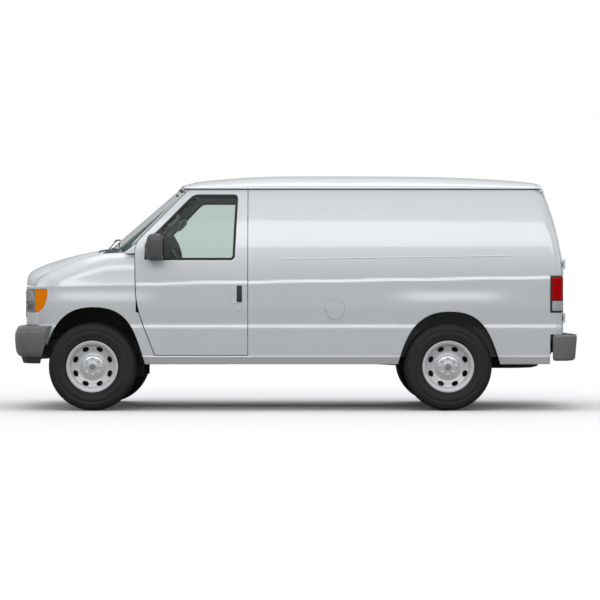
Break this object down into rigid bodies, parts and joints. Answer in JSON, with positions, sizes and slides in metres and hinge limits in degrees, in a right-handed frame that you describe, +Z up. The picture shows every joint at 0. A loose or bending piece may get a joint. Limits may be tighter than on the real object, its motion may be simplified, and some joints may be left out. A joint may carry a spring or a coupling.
{
  "type": "cargo van",
  "caption": "full-size panel cargo van with a short sloping hood, hinged cab, side and rear doors, step bumper, ladder frame, live rear axle and steered front wheels",
  "frame": {"origin": "on the ground, at the middle of the length and width", "axes": "+X forwards, +Y to the left side of the van, +Z up"},
  "size_m": [5.24, 2.427, 2.174],
  "materials": {
    "body_paint": "gloss",
    "glass": "polished",
    "dash_plastic": "grained",
    "seat_fabric": "woven",
    "trim_plastic": "satin",
    "wiper_black": "satin",
    "lamp_lens": "gloss",
    "lamp_red": "gloss",
    "bumper_paint": "satin",
    "chassis": "matt",
    "engine_iron": "cast",
    "exhaust_steel": "dull",
    "tyre_rubber": "matt",
    "wheel_steel": "satin",
    "floor_paint": "matt"
  },
  "bodies": {
    "van_body": {"frame_rails": "chassis", "floor_pan": "floor_paint", "roof": "body_paint", "left_side": "body_paint", "right_side": "body_paint", "front_fenders": "body_paint", "nose_panel": "body_paint", "nose_frame": "chassis", "grille": "trim_plastic", "front_lamps": "lamp_lens", "tail_lamps": "lamp_red", "front_bumper": "bumper_paint", "rear_bumper": "bumper_paint", "windshield_pillars": "body_paint", "cowl_panel": "trim_plastic", "windshield": "glass", "dashboard": "dash_plastic", "engine": "engine_iron", "seats": "seat_fabric", "wipers": "wiper_black", "fuel_tank": "chassis", "exhaust": "exhaust_steel", "rear_axle": "chassis", "front_axle": "chassis", "spare_wheel": "tyre_rubber"},
    "steering_wheel": {"steering_wheel": "dash_plastic"},
    "door_left": {"left_door": "body_paint", "left_door_glass": "glass", "left_mirror": "trim_plastic"},
    "door_right": {"right_door": "body_paint", "right_door_glass": "glass", "right_mirror": "trim_plastic"},
    "cargo_door_front": {"side_door_front": "body_paint"},
    "cargo_door_rear": {"side_door_rear": "body_paint"},
    "back_door_left": {"rear_door_left": "body_paint", "rear_glass_left": "glass"},
    "back_door_right": {"rear_door_right": "body_paint", "rear_glass_right": "glass"},
    "hood": {"hood": "body_paint"},
    "fuel_flap": {"fuel_flap": "body_paint"},
    "steered_left": {"left_knuckle": "chassis"},
    "steered_right": {"right_knuckle": "chassis"},
    "wheel_front_left": {"tyre_front_left": "tyre_rubber", "wheel_front_left": "wheel_steel"},
    "wheel_front_right": {"tyre_front_right": "tyre_rubber", "wheel_front_right": "wheel_steel"},
    "wheel_rear_left": {"tyre_rear_left": "tyre_rubber", "wheel_rear_left": "wheel_steel"},
    "wheel_rear_right": {"tyre_rear_right": "tyre_rubber", "wheel_rear_right": "wheel_steel"}
  },
  "joints": [
    {"name": "steering_wheel_turn", "type": "hinge", "parent": "van_body", "child": "steering_wheel", "pos_m": [1.049, 0.4, 1.33], "axis": [-0.829, 0, 0.5592], "range_deg": [-528, 528]},
    {"name": "steer_left", "type": "hinge", "parent": "van_body", "child": "steered_left", "pos_m": [1.849, 0.735, 0.403], "axis": [0, 0, 1], "range_deg": [-33, 33]},
    {"name": "steer_right", "type": "hinge", "parent": "van_body", "child": "steered_right", "pos_m": [1.849, -0.735, 0.403], "axis": [0, 0, 1], "range_deg": [-33, 33]},
    {"name": "spin_front_left", "type": "hinge", "parent": "steered_left", "child": "wheel_front_left", "pos_m": [1.849, 0.865, 0.403], "axis": [0, 1, 0], "continuous": true},
    {"name": "spin_front_right", "type": "hinge", "parent": "steered_right", "child": "wheel_front_right", "pos_m": [1.849, -0.865, 0.403], "axis": [0, 1, 0], "continuous": true},
    {"name": "spin_rear_left", "type": "hinge", "parent": "van_body", "child": "wheel_rear_left", "pos_m": [-1.396, 0.865, 0.403], "axis": [0, 1, 0], "continuous": true},
    {"name": "spin_rear_right", "type": "hinge", "parent": "van_body", "child": "wheel_rear_right", "pos_m": [-1.396, -0.865, 0.403], "axis": [0, 1, 0], "continuous": true},
    {"name": "door_left_hinge", "type": "hinge", "parent": "van_body", "child": "door_left", "pos_m": [1.431, 0.984, 1], "axis": [0, 0, -1], "range_deg": [0, 68]},
    {"name": "door_right_hinge", "type": "hinge", "parent": "van_body", "child": "door_right", "pos_m": [1.431, -0.984, 1], "axis": [0, 0, 1], "range_deg": [0, 68]},
    {"name": "cargo_door_front_hinge", "type": "hinge", "parent": "van_body", "child": "cargo_door_front", "pos_m": [0.352, -0.99146, 1], "axis": [0, 0, 1], "range_deg": [0, 90]},
    {"name": "cargo_door_rear_hinge", "type": "hinge", "parent": "van_body", "child": "cargo_door_rear", "pos_m": [-0.736, -0.98966, 1], "axis": [0, 0, -1], "range_deg": [0, 90]},
    {"name": "back_door_left_hinge", "type": "hinge", "parent": "van_body", "child": "back_door_left", "pos_m": [-2.461, 0.9, 1], "axis": [0, 0, -1], "range_deg": [0, 95]},
    {"name": "back_door_right_hinge", "type": "hinge", "parent": "van_body", "child": "back_door_right", "pos_m": [-2.461, -0.9, 1], "axis": [0, 0, 1], "range_deg": [0, 95]},
    {"name": "hood_hinge", "type": "hinge", "parent": "van_body", "child": "hood", "pos_m": [1.88, 0, 1.458], "axis": [0, -1, 0], "range_deg": [0, 45]},
    {"name": "fuel_flap_hinge", "type": "hinge", "parent": "van_body", "child": "fuel_flap", "pos_m": [-0.272, 0.99791, 0.927], "axis": [0, 0, -1], "range_deg": [0, 100]}
  ],
  "couplings": [
    {"joint": "steer_right", "follows": "steer_left", "ratio": 1},
    {"joint": "steering_wheel_turn", "follows": "steer_left", "ratio": 16}
  ]
}
